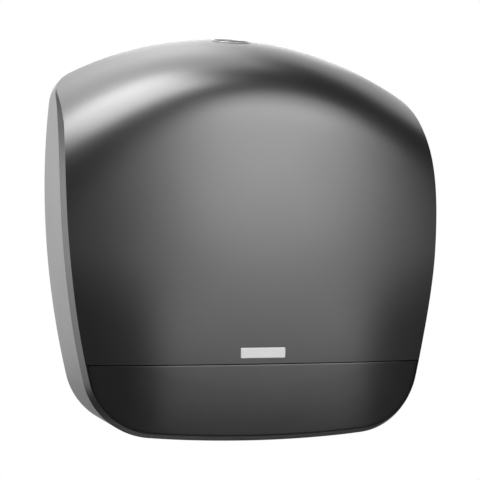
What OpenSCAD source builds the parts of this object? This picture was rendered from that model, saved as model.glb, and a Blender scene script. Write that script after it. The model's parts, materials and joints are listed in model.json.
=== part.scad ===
// Jumbo toilet roll dispenser: a wall plate that carries the roll, and a cover that swings down.
// The wall is the plane y = 0, the front looks along -Y, and +Z is up.
// The origin lies on the wall plane at the roll's axis, which is also the centre of the wall holes.

/* [Cover outline] */
// Width of the cover
cover_w = 350; // [348:1:352]
// Height of the cover
cover_h = 376.4; // [374:0.1:378]
// Height of the widest point above the lowest point
waist_h = 235; // [231:1:239]
// Height of the roll's axis above the lowest point
roll_axis_h = 185; // [183:1:186]
// Radius of the roof
roof_r = 324; // [320:1:328]
// Radius of the two shoulders
shoulder_r = 37.5; // [35:0.5:40]
// Radius of the sides above the widest point
upper_r = 735; // [720:5:750]
// Radius of the sides below the widest point
lower_r = 793; // [785:1:800]
// Radius of the two bottom corners
corner_r = 64; // [62:0.5:66]
// Radius of the bottom
floor_r = 1120; // [1100:10:1140]

/* [Cover face] */
// Depth of the face at its side edges, where it is deepest
face_d = 126; // [124:0.5:128]
// Height by which the face stands proud of its own side edges at the middle
crown = 18; // [17:0.5:18.5]
// Amount by which the face falls back 100 mm above or below its highest line
bow = 4.5; // [4:0.1:5]
// Height of the face's highest line above the lowest point
bow_h = 147; // [143:1:151]
// Share of the half width at which the lower face bends back
bend_at = 0.57; // [0.55:0.01:0.59]
// Height above the lowest point at which the bend begins
bend_h = 170; // [166:1:174]
// Width of the chamfer between side wall and face, seen from the front
bevel_w = 4; // [3.8:0.1:4.2]
// Depth of the chamfer between side wall and face
bevel_d = 9; // [8.5:0.1:9.2]
// Amount by which each side wall leans in towards the front
draft = 1.6; // [1.4:0.1:1.8]
// Fall of the roof before the face is upright, at the middle
roll_over_mid = 106; // [104:1:108]
// Fall of the roof before the face is upright, at the sides
roll_over_side = 179; // [175:1:183]
// Wall of the cover
wall = 2.8; // [2.6:0.1:3]

/* [Window and badge] */
// Height of the window's top edge above the lowest point
window_h = 70; // [69:1:72]
// Thickness of the window's front panel
window_t = 2.4; // [2.2:0.1:2.6]
// Width of the blank badge
badge_w = 40; // [36:1:44]
// Height of the blank badge
badge_h = 8.9; // [8.5:0.1:9.3]

/* [Lock] */
// Distance of the lock's axis from the wall
lock_d = 25; // [25:0.5:25.5]
// Lean of the lock's axis from upright
lock_lean = 14; // [13.5:0.5:14.5]
// Radius of the round lock recess
lock_r = 18.6; // [18.2:0.1:18.8]

/* [Hinge] */
// Distance of the hinge axis from the wall
hinge_d = 18; // [18:0.5:18.5]
// Height of the hinge axis above the lowest point
hinge_h = 16; // [15.5:0.5:16]
// Distance of each hinge from the middle
hinge_x = 83; // [82.5:0.5:83.5]
// Radius of the hinge pins
pin_r = 2.5; // [2.3:0.1:2.7]

/* [Roll holder] */
// Radius of the fixed spindle
spindle_r = 9; // [8:0.5:10]
// Radius over the hub's ribs, inside a 60 mm core
hub_r = 28.5; // [27:0.5:29]
// Radius of the flange behind the roll
flange_r = 52; // [48:1:55]
// Length of the hub along the roll's axis
hub_len = 89.4; // [87:0.1:89.5]

/* [Wall holes] */
// Distance between the wall holes across the plate
hole_dx = 200; // [190:1:210]
// Distance between the wall holes up the plate
hole_dz = 200; // [190:1:210]
// Half width of a wall slot
slot_r = 3; // [2.5:0.1:3.5]
// Length of a wall slot from end to end
slot_len = 12; // [10:0.5:14]

/* [Hidden] */
$fn = 64;
eps = 0.01;

// Places worked out from the driving dimensions
half_w = cover_w / 2;
roof_z = cover_h - roll_axis_h;
floor_z = -roll_axis_h;
waist_z = waist_h - roll_axis_h;
split_z = floor_z + window_h;
side_d = face_d - bevel_d;
bow_z = floor_z + bow_h;
bend_z = floor_z + bend_h;
hinge_y = -hinge_d;
hinge_z = floor_z + hinge_h;

// Gaps
rear_gap = 1;
rear_land = 3;
run_gap = 0.06;
seam_gap = 0.4;

// Colours
satin_black = "#3b3c3e";
smoke = "#2c2d30";
moulded_grey = "#77797c";
pale_grey = "#b9bbbd";
steel = "#c3c5c7";

// Outline of the cover in the XZ plane: six tangent arcs from the middle of the roof to the
// middle of the bottom. Angles are turned from +Z towards +X.
function meet(c1, r1, c2, r2) =
    let (v = c2 - c1, d = norm(v), u = v / d)
    let (a = (r1 * r1 - r2 * r2 + d * d) / (2 * d), h = sqrt(r1 * r1 - a * a))
    c1 + a * u + h * [u[1], -u[0]];
function heading(v) = atan2(v[0], v[1]);

roof_c = [0, roof_z - roof_r];
upper_c = [half_w - upper_r, waist_z];
lower_c = [half_w - lower_r, waist_z];
floor_c = [0, floor_z + floor_r];
shoulder_c = meet(roof_c, roof_r - shoulder_r, upper_c, upper_r - shoulder_r);
corner_c = meet(lower_c, lower_r - corner_r, floor_c, floor_r - corner_r);

arc_c = [roof_c, shoulder_c, upper_c, lower_c, corner_c, floor_c];
arc_r = [roof_r, shoulder_r, upper_r, lower_r, corner_r, floor_r];
arc_a = [
    0,
    heading(shoulder_c - roof_c),
    heading(shoulder_c - upper_c),
    90,
    heading(corner_c - lower_c),
    heading(corner_c - floor_c),
    180
];
arc_steps = [8, 5, 3, 4, 6, 4];

// A station is an arc's number, an angle on it, and the side it lies on
right_stations = [
    for (i = [0:5])
        for (k = [0:arc_steps[i] - 1])
            [i, arc_a[i] + (arc_a[i + 1] - arc_a[i]) * k / arc_steps[i], 1]
];
last_right = len(right_stations) - 1;
stations = concat(
    right_stations,
    [[5, 180, 1]],
    [for (k = [last_right:-1:1]) [right_stations[k][0], right_stations[k][1], -1]]
);
around = len(stations);

function rim_point(s, inset) =
    let (p = arc_c[s[0]] + (arc_r[s[0]] - inset) * [sin(s[1]), cos(s[1])])
    [s[2] * p[0], p[1]];
function outline(inset) = [for (s = stations) rim_point(s, inset)];

// Face of the cover: the depth rises from the rear land at the roof line to the full depth.
// "cut" moves the whole surface inwards, for the inside of the wall.
roll_over_power = [3.7, 4.8];
roll_over_root = [1.08, 1.12];
bend_slope = 3.2;
bend_soft = [0.275, 0.215];
function across(x) = pow(x / half_w, 2);
function blend(pair, x) = pair[0] + (pair[1] - pair[0]) * across(x);
function roof_line(x) = roof_c[1] + sqrt(roof_r * roof_r - x * x);
function fall(x, z, cut) =
    (roof_line(x) - cut - z) / blend([roll_over_mid, roll_over_side], x);
function swell(t, power, root) =
    t >= 1 ? 1 : t <= 0 ? 0 : pow(1 - pow(1 - t, power), 1 / root);
// The middle of the section is flat in the lower part and bends back near the sides; above
// bend_z it is a plain curve. "soft" is a ramp with a rounded foot.
function soft(v, width) = (v + sqrt(v * v + width * width)) / 2;
function bend_share(z) =
    let (t = min(1, max(0, (bend_z - z) / (bend_z - split_z))))
    t * t * (3 - 2 * t);
function side_fall(x, z) =
    let (part = bend_share(z), u = abs(x) / half_w)
    let (width = bend_soft[0] + (bend_soft[1] - bend_soft[0]) * part)
    (1 - part) * across(x)
    + part * bend_slope * (soft(u - bend_at, width) - soft(-bend_at, width));
function full_depth(x, z) =
    face_d + crown * (1 - side_fall(x, z)) - bow * pow((z - bow_z) / 100, 2);
function depth(x, z, cut) =
    let (part = swell(fall(x, z, cut), blend(roll_over_power, x), blend(roll_over_root, x)))
    rear_land + (full_depth(x, z) - cut - rear_land) * part;

// Share of the chamfer at a point: none at the roof line, all of it below bevel_run
bevel_run = 45;
bevel_least = 1;
function bevel_share(x, z) = pow(min(1, max(0, (roof_line(x) - z) / bevel_run)), 1.5);

// One closed ring of points for each step from the wall to the middle of the face
face_rings = 12;
ring_power = 1.8;
function ring_scale(k) = 1 - pow(k / face_rings, ring_power);

function side_inset(s, cut) =
    let (p = rim_point(s, cut))
    cut + draft * depth(p[0], p[1], cut) / side_d;
function rear_point(s, cut, y) = let (p = rim_point(s, cut)) [p[0], y, p[1]];
function crease_point(s, cut) =
    let (p = rim_point(s, side_inset(s, cut)))
    [p[0], bevel_d * bevel_share(p[0], p[1]) - depth(p[0], p[1], cut), p[1]];
function edge_xz(s, cut) =
    let (q = rim_point(s, cut))
    rim_point(s, side_inset(s, cut) + bevel_least
        + (bevel_w - bevel_least) * bevel_share(q[0], q[1]));
function face_point(s, cut, k) =
    let (p = edge_xz(s, cut) * ring_scale(k))
    [p[0], -depth(p[0], p[1], cut), p[1]];

function shell_points(cut, rear_y) = concat(
    [for (s = stations) rear_point(s, cut, rear_y)],
    [for (s = stations) crease_point(s, cut)],
    [for (k = [0:face_rings - 1]) for (s = stations) face_point(s, cut, k)],
    [[0, -depth(0, 0, cut), 0]]
);
ring_count = face_rings + 2;
function ring_id(ring, j) = ring * around + j % around;
shell_faces = concat(
    [[for (j = [around - 1:-1:0]) j]],
    [for (ring = [0:ring_count - 2]) for (j = [0:around - 1])
        [ring_id(ring, j), ring_id(ring, j + 1), ring_id(ring + 1, j + 1)]],
    [for (ring = [0:ring_count - 2]) for (j = [0:around - 1])
        [ring_id(ring, j), ring_id(ring + 1, j + 1), ring_id(ring + 1, j)]],
    [for (j = [0:around - 1])
        [ring_id(ring_count - 1, j), ring_id(ring_count - 1, j + 1), ring_count * around]]
);

module cover_solid(cut, rear_y) {
    polyhedron(points = shell_points(cut, rear_y), faces = shell_faces, convexity = 6);
}

// Helpers that place flat shapes and bodies
// A shape drawn in XZ, made thick from y = front_y back towards the front
module slab_y(points, y, thick) {
    translate([0, y, 0])
        rotate([90, 0, 0])
            linear_extrude(thick)
                polygon(points);
}

// A shape drawn in YZ, made thick along +X from x
module slab_x(points, x, thick) {
    translate([x, 0, 0])
        rotate([90, 0, 90])
            linear_extrude(thick)
                polygon(points);
}

module block(low, high) {
    translate(low)
        cube(high - low);
}

// A round body whose own +Z points to the front, starting at y
module to_front(y) {
    translate([0, y, 0])
        rotate([90, 0, 0])
            children();
}

module mirrored_x() {
    children();
    mirror([1, 0, 0])
        children();
}

// The lock's own frame: its +Z leaves the roof and its +Y points to the wall
lock_z = lookup(lock_d, [
    for (k = [0:40])
        let (z = roof_z - k * 0.5)
        [depth(0, z, 0), z]
]);
module lock_frame() {
    translate([0, -lock_d, lock_z])
        rotate([lock_lean, 0, 0])
            children();
}

// Pan head screw along +Z with its head's seat at z = 0 and a cross recess
module pan_screw(r, length, head_r, head_h) {
    difference() {
        union() {
            rotate_extrude($fn = 32)
                polygon([
                    [0, 0], [head_r, 0], [head_r, head_h * 0.55],
                    [head_r * 0.72, head_h], [0, head_h]
                ]);
            translate([0, 0, -length])
                cylinder(r = r, h = length + eps, $fn = 32);
        }
        for (turn = [0, 90])
            rotate([0, 0, turn])
                block([-head_r * 0.55, -0.4, head_h * 0.4], [head_r * 0.55, 0.4, head_h + 1]);
    }
}

// Back plate
plate_t = 3;
plate_inset = 7;
rim_t = 2.4;
rim_depth = 12;
plate_low_z = floor_z + 27;
rim_low_z = floor_z + 45;
tongue_half_w = 58;
tongue_low_z = floor_z + 2;
rib_depth = 7;
rib_t = 2;
boss_r = 38;
notch_half_w = 28;
ear_t = 5.6;
lug_half_w = 6.6;
lug_gap = 0.4;
ear_r = 6;

module wall_slot(x, z) {
    half_run = slot_len / 2 - slot_r;
    translate([x, 1, z])
        rotate([90, 0, 0]) {
            for (side = [-1, 1])
                translate([side * half_run, 0, 0])
                    cylinder(r = slot_r, h = rim_depth);
            translate([-half_run, -slot_r, 0])
                cube([2 * half_run, 2 * slot_r, rim_depth]);
        }
}

module hinge_ear(x) {
    slab_x([
        [-1, plate_low_z], [-1, plate_low_z + 18], [-6, plate_low_z + 18],
        [hinge_y - 5.4, hinge_z + 2.6], [hinge_y, hinge_z - ear_r + 0.1],
        [hinge_y + 4.4, hinge_z - 4]
    ], x, ear_t);
    translate([x, hinge_y, hinge_z])
        rotate([0, 90, 0])
            cylinder(r = ear_r, h = ear_t);
}

// Both ears' outer face distances from the middle, one hinge each side
ear_inner_x = hinge_x - lug_half_w - lug_gap - ear_t;
ear_outer_x = hinge_x + lug_half_w + lug_gap;

spindle_screw_ring = 26;
strike_screw_x = 10;
strike_screw_z = 153;
guide_screw_x = 30;
guide_screw_z = floor_z + 30;
pilot_r = 1.5;
screw_r = 1.75;

module back_plate() {
    color(moulded_grey)
        difference() {
            union() {
                intersection() {
                    difference() {
                        slab_y(outline(plate_inset), 0, rim_depth);
                        slab_y(outline(plate_inset + rim_t), -plate_t, rim_depth);
                        block([-notch_half_w, -rim_depth - 1, 150], [notch_half_w, -plate_t, 200]);
                    }
                    union() {
                        block([-half_w, -rim_depth - 1, rim_low_z], [half_w, 1, roof_z]);
                        block([-half_w, -plate_t, plate_low_z], [half_w, 1, roof_z]);
                    }
                }
                block([-tongue_half_w, -plate_t, tongue_low_z], [tongue_half_w, 0, plate_low_z + 1]);
                // Round boss that stiffens the plate behind the spindle
                to_front(-plate_t + eps)
                    difference() {
                        cylinder(r = boss_r, h = rib_depth - plate_t);
                        translate([0, 0, -1])
                            cylinder(r = boss_r - rib_t, h = rib_depth);
                    }
                // Ribs from the boss to the rim
                for (turn = [20:40:340])
                    rotate([0, turn, 0])
                        block([boss_r - 1, -rib_depth, -rib_t / 2], [130, -plate_t + eps, rib_t / 2]);
                // Pads round the wall slots
                for (x = [-1, 1], z = [-1, 1])
                    translate([x * hole_dx / 2, -plate_t + eps, z * hole_dz / 2])
                        rotate([90, 0, 0])
                            cylinder(r = 12, h = 2);
                mirrored_x() {
                    hinge_ear(ear_inner_x);
                    hinge_ear(ear_outer_x);
                }
            }
            for (x = [-1, 1], z = [-1, 1])
                wall_slot(x * hole_dx / 2, z * hole_dz / 2);
            // Hinge pin bores
            for (side = [-1, 1])
                translate([side * hinge_x - 20, hinge_y, hinge_z])
                    rotate([0, 90, 0])
                        cylinder(r = pin_r, h = 40);
            // Blind pilot holes for the screws that stay in the plate
            for (turn = [45:90:315])
                rotate([0, turn, 0])
                    translate([spindle_screw_ring, -0.6, 0])
                        rotate([90, 0, 0])
                            cylinder(r = pilot_r, h = 10, $fn = 32);
            for (side = [-1, 1]) {
                translate([side * strike_screw_x, -0.6, strike_screw_z])
                    rotate([90, 0, 0])
                        cylinder(r = pilot_r, h = 10, $fn = 32);
                translate([side * guide_screw_x, -0.6, guide_screw_z])
                    rotate([90, 0, 0])
                        cylinder(r = pilot_r, h = 10, $fn = 32);
            }
        }
}

// Spindle, its brake washer, its retainer and their screws
spindle_flange_r = boss_r - rib_t - 0.4;
spindle_flange_t = 4;
spindle_len = 97.2;
retainer_pilot_r = 2;
spindle_end_y = -plate_t - spindle_len;

module roll_spindle() {
    color(pale_grey)
        difference() {
            to_front(-plate_t)
                difference() {
                    rotate_extrude()
                        polygon([
                            [0, 0], [spindle_flange_r, 0],
                            [spindle_flange_r, spindle_flange_t - 0.6],
                            [spindle_flange_r - 0.6, spindle_flange_t],
                            [spindle_r, spindle_flange_t],
                            [spindle_r, spindle_len - 1], [spindle_r - 1, spindle_len],
                            [0, spindle_len]
                        ]);
                    translate([0, 0, spindle_len - 20])
                        cylinder(r = retainer_pilot_r, h = 21, $fn = 32);
                }
            for (turn = [45:90:315])
                rotate([0, turn, 0])
                    translate([spindle_screw_ring, 0, 0])
                        rotate([90, 0, 0])
                            cylinder(r = screw_r + 0.15, h = 20, $fn = 32);
        }
}

module spindle_screws() {
    color(steel)
        for (turn = [45:90:315])
            rotate([0, turn, 0])
                translate([spindle_screw_ring, -plate_t - spindle_flange_t, 0])
                    rotate([90, 0, 0])
                        pan_screw(screw_r, 6, 3.2, 2.2);
}

hub_rear_y = -10.4;
washer_in_r = spindle_r + 0.6;
washer_out_r = 20;
washer_t = 0.7;

module brake_washer() {
    washer_rise = -hub_rear_y - plate_t - spindle_flange_t - washer_t - 0.3;
    color(steel)
        to_front(-plate_t - spindle_flange_t)
            rotate_extrude()
                polygon([
                    [washer_in_r, 0], [washer_out_r, washer_rise],
                    [washer_out_r, washer_rise + washer_t], [washer_in_r, washer_t]
                ]);
}

retainer_t = 1.8;
retainer_r = 13;

module hub_retainer() {
    color(steel)
        to_front(spindle_end_y)
            difference() {
                cylinder(r = retainer_r, h = retainer_t);
                translate([0, 0, -1])
                    cylinder(r = 2.6, h = retainer_t + 2, $fn = 32);
            }
}

module retainer_screw() {
    color(steel)
        to_front(spindle_end_y - retainer_t)
            pan_screw(2.4, 16, 4.6, 2.8);
}

// Hub that turns on the spindle and carries the roll
tube_r = 13;
rib_lead = 9;
hub_flange_t = 2.4;
hub_front_y = hub_rear_y - hub_len;
flange_screw_ring = 19;
nose_back = 4;

module roll_hub() {
    rib_foot = hub_flange_t + 0.2;
    color(pale_grey)
        to_front(hub_rear_y)
            difference() {
                union() {
                    cylinder(r = tube_r, h = hub_len);
                    for (turn = [0:60:300])
                        rotate([0, 0, turn])
                            rotate([90, 0, 0])
                                translate([0, 0, -1.1])
                                    linear_extrude(2.2)
                                        polygon([
                                            [tube_r - 1, rib_foot], [hub_r, rib_foot],
                                            [hub_r, hub_len - nose_back - rib_lead],
                                            [hub_r - 3.5, hub_len - nose_back],
                                            [tube_r - 1, hub_len - nose_back]
                                        ]);
                    // Ring that joins the ribs' feet and takes the flange screws
                    translate([0, 0, rib_foot])
                        cylinder(r = hub_r - 5, h = 3);
                }
                translate([0, 0, -1])
                    cylinder(r = spindle_r + run_gap, h = hub_len + 2);
                for (turn = [30:120:270])
                    rotate([0, 0, turn])
                        translate([flange_screw_ring, 0, -1])
                            cylinder(r = pilot_r, h = rib_foot + 5, $fn = 32);
            }
}

module hub_flange() {
    color(pale_grey)
        to_front(hub_rear_y)
            difference() {
                rotate_extrude($fn = 96)
                    polygon([
                        [tube_r + 0.05, 0], [flange_r, 0], [flange_r, hub_flange_t + 1.2],
                        [flange_r - 2.4, hub_flange_t + 1.2], [flange_r - 2.4, hub_flange_t],
                        [tube_r + 0.05, hub_flange_t]
                    ]);
                for (turn = [0:60:300])
                    rotate([0, 0, turn])
                        translate([38, 0, -1])
                            cylinder(r = 8, h = hub_flange_t + 2);
                for (turn = [30:120:270])
                    rotate([0, 0, turn])
                        translate([flange_screw_ring, 0, -1])
                            cylinder(r = screw_r + 0.15, h = hub_flange_t + 2, $fn = 32);
                // Counterbores that keep the screw heads below the flange's rear face
                for (turn = [30:120:270])
                    rotate([0, 0, turn])
                        translate([flange_screw_ring, 0, -1])
                            cylinder(r = 3.4, h = 2.4, $fn = 32);
            }
}

module flange_screws() {
    color(steel)
        to_front(hub_rear_y - 1.4)
            for (turn = [30:120:270])
                rotate([0, 0, turn])
                    translate([flange_screw_ring, 0, 0])
                        rotate([180, 0, 0])
                            pan_screw(screw_r, 3.8, 3, 1.2);
}

module hub_nose() {
    color(pale_grey)
        to_front(hub_front_y + nose_back)
            rotate_extrude()
                polygon([
                    [tube_r + 0.05, 0], [24.6, 0], [23.6, 1.4], [tube_r + 3, 3.4],
                    [tube_r + 0.05, 3.4]
                ]);
}

// Paper mouth with a flared funnel, and the two toothed strips at its ends
mouth_half_w = 46.9;
guide_t = 2.6;
guide_low_z = floor_z + 2;
guide_high_z = floor_z + 39;
guide_bend_z = floor_z + 25;
guide_front_y = -113;
flare = 9;
strip_low_z = guide_low_z + 1;
strip_screw_y = [-30, -86];
strip_screw_z = strip_low_z + 10;

module exit_guide() {
    color(moulded_grey)
        difference() {
            union() {
                mirrored_x()
                    slab_y([
                        [mouth_half_w, guide_low_z],
                        [mouth_half_w, guide_bend_z],
                        [mouth_half_w + flare, guide_high_z],
                        [mouth_half_w + flare + guide_t, guide_high_z - 1.6],
                        [mouth_half_w + guide_t, guide_bend_z - 1],
                        [mouth_half_w + guide_t, guide_low_z]
                    ], -plate_t, -plate_t - guide_front_y);
                for (y = [-plate_t, guide_front_y + guide_t])
                    slab_y([
                        [-mouth_half_w - eps, guide_low_z],
                        [-mouth_half_w - eps, guide_bend_z],
                        [-mouth_half_w - flare - eps, guide_high_z],
                        [mouth_half_w + flare + eps, guide_high_z],
                        [mouth_half_w + eps, guide_bend_z],
                        [mouth_half_w + eps, guide_low_z]
                    ], y, guide_t);
            }
            for (side = [-1, 1]) {
                translate([side * guide_screw_x, 0, guide_screw_z])
                    rotate([90, 0, 0])
                        cylinder(r = screw_r + 0.15, h = 10, $fn = 32);
                for (y = strip_screw_y)
                    translate([side * (mouth_half_w + guide_t / 2), y, strip_screw_z])
                        rotate([0, 90, 0])
                            cylinder(r = pilot_r, h = 10, center = true, $fn = 32);
            }
        }
}

module exit_guide_screws() {
    color(steel)
        for (side = [-1, 1])
            translate([side * guide_screw_x, -plate_t - guide_t, guide_screw_z])
                rotate([90, 0, 0])
                    pan_screw(screw_r, 4.8, 3.2, 2.2);
}

strip_t = 0.8;
strip_back_y = -12;
tooth_pitch = 4;
tooth_count = 23;
tooth_h = 2.6;
strip_high_z = strip_low_z + 15;

module tear_strip(side) {
    teeth = [
        for (k = [0:tooth_count - 1])
            each [
                [strip_back_y - k * tooth_pitch, strip_low_z + tooth_h],
                [strip_back_y - (k + 0.5) * tooth_pitch, strip_low_z]
            ]
    ];
    front_y = strip_back_y - tooth_count * tooth_pitch;
    x = side > 0 ? mouth_half_w - strip_t : -mouth_half_w;
    color(steel)
        difference() {
            slab_x(concat(
                teeth,
                [
                    [front_y, strip_low_z + tooth_h],
                    [front_y, strip_high_z],
                    [strip_back_y, strip_high_z]
                ]
            ), x, strip_t);
            for (y = strip_screw_y)
                translate([x - 1, y, strip_screw_z])
                    rotate([0, 90, 0])
                        cylinder(r = screw_r + 0.15, h = 4, $fn = 32);
        }
}

module tear_strip_left() {
    tear_strip(-1);
}

module tear_strip_right() {
    tear_strip(1);
}

module tear_strip_screws() {
    color(steel)
        mirrored_x()
            for (y = strip_screw_y)
                translate([mouth_half_w - strip_t, y, strip_screw_z])
                    rotate([0, -90, 0])
                        pan_screw(screw_r, 3, 3, 1.5);
}

// Hinge
module hinge_pin(side) {
    pin_half_len = lug_half_w + lug_gap + ear_t + 0.5;
    color(steel)
        translate([side * hinge_x - pin_half_len, hinge_y, hinge_z])
            rotate([0, 90, 0]) {
                cylinder(r = pin_r - 0.01, h = 2 * pin_half_len);
                translate([0, 0, side > 0 ? 2 * pin_half_len : -1.2])
                    cylinder(r = pin_r + 1.2, h = 1.2);
            }
}

module hinge_pin_left() {
    hinge_pin(-1);
}

module hinge_pin_right() {
    hinge_pin(1);
}

arm_low_z = floor_z + 9;
arm_t = 3.4;
arm_front_y = -62;
arm_screw_y = [-36, -54];
boss_h = 2.9;

module hinge_arm(side) {
    x = side * hinge_x - lug_half_w;
    color(pale_grey)
        difference() {
            union() {
                translate([x, hinge_y, hinge_z])
                    rotate([0, 90, 0])
                        cylinder(r = ear_r, h = 2 * lug_half_w);
                slab_x([
                    [hinge_y + 1, hinge_z - ear_r + 0.1], [hinge_y, arm_low_z],
                    [arm_front_y, arm_low_z], [arm_front_y, arm_low_z + arm_t],
                    [hinge_y - 14, arm_low_z + arm_t], [hinge_y - 5.4, hinge_z + 2.6],
                    [hinge_y, hinge_z]
                ], x, 2 * lug_half_w);
            }
            translate([x - 1, hinge_y, hinge_z])
                rotate([0, 90, 0])
                    cylinder(r = pin_r + run_gap, h = 2 * lug_half_w + 2);
            for (y = arm_screw_y)
                translate([side * hinge_x, y, arm_low_z - 1])
                    cylinder(r = screw_r + 0.15, h = 10, $fn = 32);
        }
}

module hinge_arm_left() {
    hinge_arm(-1);
}

module hinge_arm_right() {
    hinge_arm(1);
}

module hinge_arm_screws() {
    color(steel)
        for (side = [-1, 1], y = arm_screw_y)
            translate([side * hinge_x, y, arm_low_z + arm_t])
                pan_screw(screw_r, arm_t + boss_h - 0.2, 3.2, 2);
}

// Cover
window_inset = draft + bevel_w + 1.5;
ledge_w = 3.6;
ledge_top_w = 12;
rabbet = window_t + 0.3;
ledge_t = 2.8;
mouth_cut_half_w = 52.5;
mouth_cut_y = -116;
pocket_half_w = 100;
pocket_y = -24;
swing_clear_r = hinge_d - rear_gap - 0.3;
clip_x = [-88, 0, 88];
clip_z = split_z - 6.5;
post_r = 2.2;

// Sheet that follows the face from one depth behind it to another, built up in level rings
band_columns = 16;
band_rows = 6;
ring_n = 2 * (band_columns + 1);
function band_x(k) = half_w * (2 * k / band_columns - 1);
function band_ring(front, rear, z) = concat(
    [for (k = [0:band_columns]) [band_x(k), front - full_depth(band_x(k), z), z]],
    [for (k = [band_columns:-1:0]) [band_x(k), rear - full_depth(band_x(k), z), z]]
);
module face_band(front, rear, low_z, high_z) {
    rings = [
        for (r = [0:band_rows])
            band_ring(front, rear, low_z + (high_z - low_z) * r / band_rows)
    ];
    polyhedron(
        points = [for (ring = rings) for (p = ring) p],
        faces = concat(
            [[for (j = [0:ring_n - 1]) j]],
            [[for (j = [ring_n - 1:-1:0]) band_rows * ring_n + j]],
            [for (r = [0:band_rows - 1]) for (j = [0:ring_n - 1])
                [band_id(r, j), band_id(r + 1, j), band_id(r + 1, j + 1)]],
            [for (r = [0:band_rows - 1]) for (j = [0:ring_n - 1])
                [band_id(r, j), band_id(r + 1, j + 1), band_id(r, j + 1)]]
        ),
        convexity = 4
    );
}
function band_id(r, j) = r * ring_n + j % ring_n;

// The part of a band that lies inside the window's outline
module window_band(front, rear, inset, high_z) {
    intersection() {
        face_band(front, rear, floor_z, high_z);
        slab_y(outline(inset), 0, 160);
    }
}

// Its size stays as it is: the resize only joins the curved sheets into one mesh
module one_mesh() {
    resize([0, 0, 0])
        children();
}

// Thin shell with the window's opening, and the ledge that the window rests on
module cover_shell() {
    difference() {
        union() {
            difference() {
                cover_solid(0, -rear_gap);
                cover_solid(wall, 1);
            }
            window_band(wall - 0.8, rabbet + ledge_t, draft + bevel_w - 0.7, split_z + 4);
        }
        window_band(-2, rabbet, window_inset - seam_gap, split_z);
        window_band(0, 12, window_inset + ledge_w, split_z - ledge_top_w);
    }
}

module front_cover() {
    color(satin_black)
        difference() {
            union() {
                one_mesh()
                    cover_shell();
                // Bosses that the hinge arms stand on
                for (side = [-1, 1], y = arm_screw_y)
                    translate([side * hinge_x, y, arm_low_z - boss_h])
                        cylinder(r = 5, h = boss_h);
            }
            for (side = [-1, 1], y = arm_screw_y)
                translate([side * hinge_x, y, arm_low_z - boss_h + 0.3])
                    cylinder(r = pilot_r, h = 5, $fn = 32);
            for (x = clip_x)
                translate([x, 0, clip_z])
                    rotate([90, 0, 0])
                        cylinder(r = post_r + 0.2, h = 160, $fn = 32);
            // Paper mouth, and room for the hinge ears
            block([-mouth_cut_half_w, mouth_cut_y, floor_z - 1], [mouth_cut_half_w, 1, floor_z + 14]);
            block([-pocket_half_w, pocket_y, floor_z - 1], [pocket_half_w, 1, floor_z + 14]);
            // Rear edge of the floor, rounded so that it swings clear of the wall
            difference() {
                block([-half_w, hinge_y, floor_z - 1], [half_w, 1, hinge_z]);
                translate([-half_w - 1, hinge_y, hinge_z])
                    rotate([0, 90, 0])
                        cylinder(r = swing_clear_r, h = cover_w + 2);
            }
            lock_frame()
                translate([0, 0, -14])
                    cylinder(r = lock_r + 0.3, h = 24);
            badge_recess();
        }
}

badge_low_z = split_z + 4.9;
badge_t = 1.2;
badge_recess_d = 0.7;

// The badge's own frame: its +Y leaves the face backwards and its +Z runs up along it
badge_z = badge_low_z + badge_h / 2;
badge_lean = atan((full_depth(0, badge_z + 1) - full_depth(0, badge_z - 1)) / 2);
module badge_frame() {
    translate([0, -full_depth(0, badge_z), badge_z])
        rotate([badge_lean, 0, 0])
            children();
}

module badge_recess() {
    badge_frame()
        block(
            [-badge_w / 2 - 0.2, -1, -badge_h / 2 - 0.2],
            [badge_w / 2 + 0.2, badge_recess_d, badge_h / 2 + 0.2]
        );
}

module badge_plate() {
    color(pale_grey)
        badge_frame()
            block(
                [-badge_w / 2, badge_recess_d - badge_t, -badge_h / 2],
                [badge_w / 2, badge_recess_d, badge_h / 2]
            );
}

module view_window() {
    sink = 0.25;
    color(smoke)
        union() {
            one_mesh() {
                window_band(sink, sink + window_t, window_inset, split_z - seam_gap);
                difference() {
                    window_band(sink + 1, rabbet + 1.6, window_inset + ledge_w + seam_gap,
                        split_z - ledge_top_w - seam_gap);
                    window_band(window_t + sink, 12, window_inset + ledge_w + 3,
                        split_z - ledge_top_w - 3);
                }
            }
            for (x = clip_x)
                translate([x, -full_depth(x, clip_z) + window_t, clip_z])
                    rotate([-90, 0, 0])
                        cylinder(r = post_r, h = ledge_t + 3, $fn = 32);
        }
}

module window_clips() {
    color(steel)
        for (x = clip_x)
            translate([x, -full_depth(x, clip_z) + rabbet + ledge_t + 1.2, clip_z])
                rotate([-90, 0, 0])
                    difference() {
                        cylinder(r = post_r + 3, h = 0.8);
                        translate([0, 0, -1])
                            cylinder(r = post_r + 0.05, h = 3, $fn = 32);
                    }
}

// Lock: recessed bezel, turning barrel and hook cam, and the strike that the cam holds
recess_floor = -5;
bezel_under = -7.4;
sleeve_end = -12;
barrel_r = 8;
bezel_ear_x = 21.6;
bezel_ear_r = 5;

module lock_bezel() {
    color(pale_grey)
        lock_frame()
            difference() {
                union() {
                    rotate_extrude()
                        polygon([
                            [barrel_r + run_gap, recess_floor], [lock_r - 2.2, recess_floor],
                            [lock_r - 1.8, -0.2], [lock_r - 1.2, 0.3], [lock_r - 0.5, 0.3],
                            [lock_r, -0.2], [lock_r, bezel_under],
                            [barrel_r + 3.4, bezel_under], [barrel_r + 3.4, sleeve_end],
                            [barrel_r + run_gap, sleeve_end]
                        ]);
                    for (side = [-1, 1])
                        difference() {
                            translate([side * bezel_ear_x, 0, bezel_under])
                                cylinder(r = bezel_ear_r, h = 2.4);
                            translate([0, 0, bezel_under - 1])
                                cylinder(r = lock_r - 1, h = 5);
                        }
                }
                for (side = [-1, 1])
                    translate([side * (bezel_ear_x + 1.4), 0, bezel_under - 1])
                        cylinder(r = screw_r, h = 5, $fn = 32);
            }
}

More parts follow.
